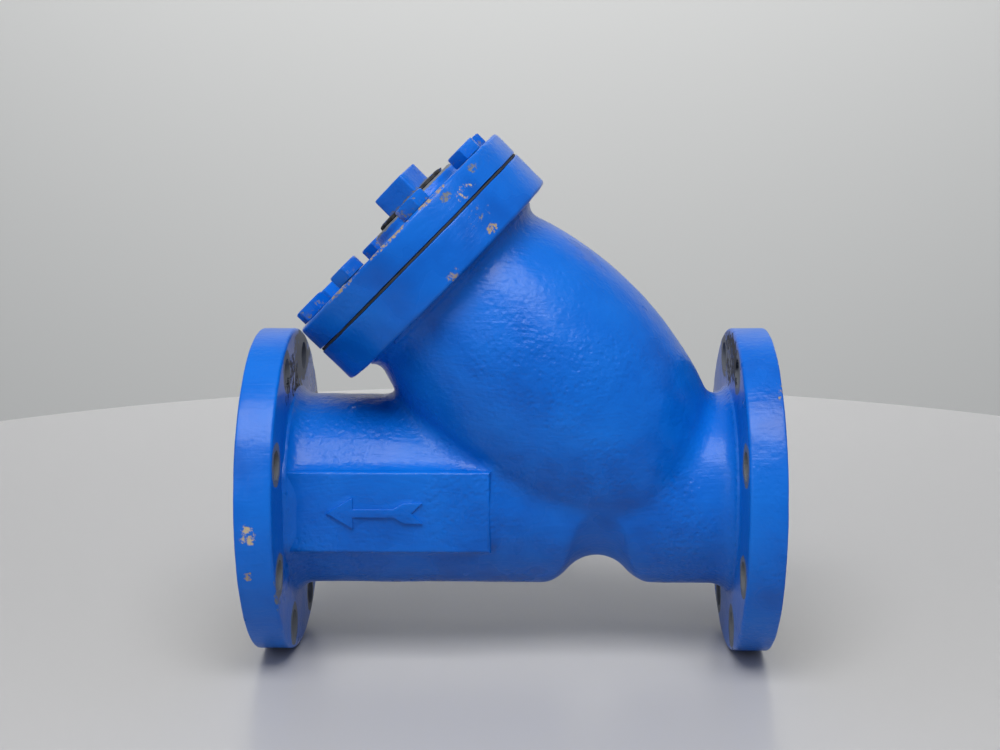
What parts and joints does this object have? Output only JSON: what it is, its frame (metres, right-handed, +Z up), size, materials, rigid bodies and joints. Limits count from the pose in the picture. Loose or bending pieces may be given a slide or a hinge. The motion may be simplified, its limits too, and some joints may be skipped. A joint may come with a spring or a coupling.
{
  "type": "basket strainer",
  "caption": "Flanged cast-iron Y-pattern basket strainer in blue enamel, with bolted cover, lift-out perforated screen and square-head blow-off plug",
  "frame": {"origin": "on the ground under the middle of the pipe run", "axes": "+X along the run to the inlet flange, +Z up, +Y away from the side with the flow arrow"},
  "size_m": [0.3968, 0.254, 0.4053],
  "materials": {
    "enamelled_iron": "glossy brushed enamel over a rough casting, chipped at the flange rims",
    "cover_iron": "brushed enamel with a sandy bare edge",
    "gasket_sheet": "thin sheet gasket, dark",
    "painted_bolt": "enamel brushed over hexagon heads",
    "painted_plug": "enamel brushed over a square head",
    "seal_rubber": "rough-cut black rubber",
    "screen_steel": "perforated stainless sheet, brushed"
  },
  "bodies": {
    "body": {"body_casting": "enamelled_iron", "inlet_flange": "enamelled_iron", "outlet_flange": "enamelled_iron", "leg_flange": "enamelled_iron"},
    "cover": {"cover": "cover_iron"},
    "gasket": {"cover_gasket": "gasket_sheet"},
    "screen": {"screen_tube": "screen_steel", "screen_seam_strip": "screen_steel", "screen_ring_seat": "screen_steel", "screen_ring_cover": "screen_steel"},
    "bolt_1": {"cover_bolt_1": "painted_bolt"},
    "bolt_2": {"cover_bolt_2": "painted_bolt"},
    "bolt_3": {"cover_bolt_3": "painted_bolt"},
    "bolt_4": {"cover_bolt_4": "painted_bolt"},
    "bolt_5": {"cover_bolt_5": "painted_bolt"},
    "bolt_6": {"cover_bolt_6": "painted_bolt"},
    "bolt_7": {"cover_bolt_7": "painted_bolt"},
    "bolt_8": {"cover_bolt_8": "painted_bolt"},
    "plug_seal": {"plug_seal": "seal_rubber"},
    "plug": {"blow_off_plug": "painted_plug"}
  },
  "joints": [
    {"name": "cover_lift", "type": "slide", "parent": "body", "child": "cover", "axis": [-0.7071, 0, 0.7071], "range_m": [0, 0.34]},
    {"name": "gasket_lift", "type": "slide", "parent": "body", "child": "gasket", "axis": [-0.7071, 0, 0.7071], "range_m": [0, 0.2924]},
    {"name": "screen_lift", "type": "slide", "parent": "body", "child": "screen", "axis": [-0.7071, 0, 0.7071], "range_m": [0, 0.272]},
    {"name": "bolt_1_out", "type": "slide", "parent": "cover", "child": "bolt_1", "axis": [-0.7071, 0, 0.7071], "range_m": [0, 0.05]},
    {"name": "bolt_2_out", "type": "slide", "parent": "cover", "child": "bolt_2", "axis": [-0.7071, 0, 0.7071], "range_m": [0, 0.05]},
    {"name": "bolt_3_out", "type": "slide", "parent": "cover", "child": "bolt_3", "axis": [-0.7071, 0, 0.7071], "range_m": [0, 0.05]},
    {"name": "bolt_4_out", "type": "slide", "parent": "cover", "child": "bolt_4", "axis": [-0.7071, 0, 0.7071], "range_m": [0, 0.05]},
    {"name": "bolt_5_out", "type": "slide", "parent": "cover", "child": "bolt_5", "axis": [-0.7071, 0, 0.7071], "range_m": [0, 0.05]},
    {"name": "bolt_6_out", "type": "slide", "parent": "cover", "child": "bolt_6", "axis": [-0.7071, 0, 0.7071], "range_m": [0, 0.05]},
    {"name": "bolt_7_out", "type": "slide", "parent": "cover", "child": "bolt_7", "axis": [-0.7071, 0, 0.7071], "range_m": [0, 0.05]},
    {"name": "bolt_8_out", "type": "slide", "parent": "cover", "child": "bolt_8", "axis": [-0.7071, 0, 0.7071], "range_m": [0, 0.05]},
    {"name": "plug_lift", "type": "slide", "parent": "cover", "child": "plug_seal", "axis": [-0.7071, 0, 0.7071], "range_m": [0, 0.02651]},
    {"name": "plug_turn", "type": "hinge", "parent": "plug_seal", "child": "plug", "pos_m": [-0.07705, 0, 0.35441], "axis": [-0.7071, 0, 0.7071], "range_deg": [0, 4320]}
  ],
  "couplings": [
    {"joint": "gasket_lift", "follows": "cover_lift", "ratio": 0.86},
    {"joint": "screen_lift", "follows": "cover_lift", "ratio": 0.8},
    {"joint": "plug_lift", "follows": "plug_turn", "m_per_rad": 0.00035152}
  ]
}
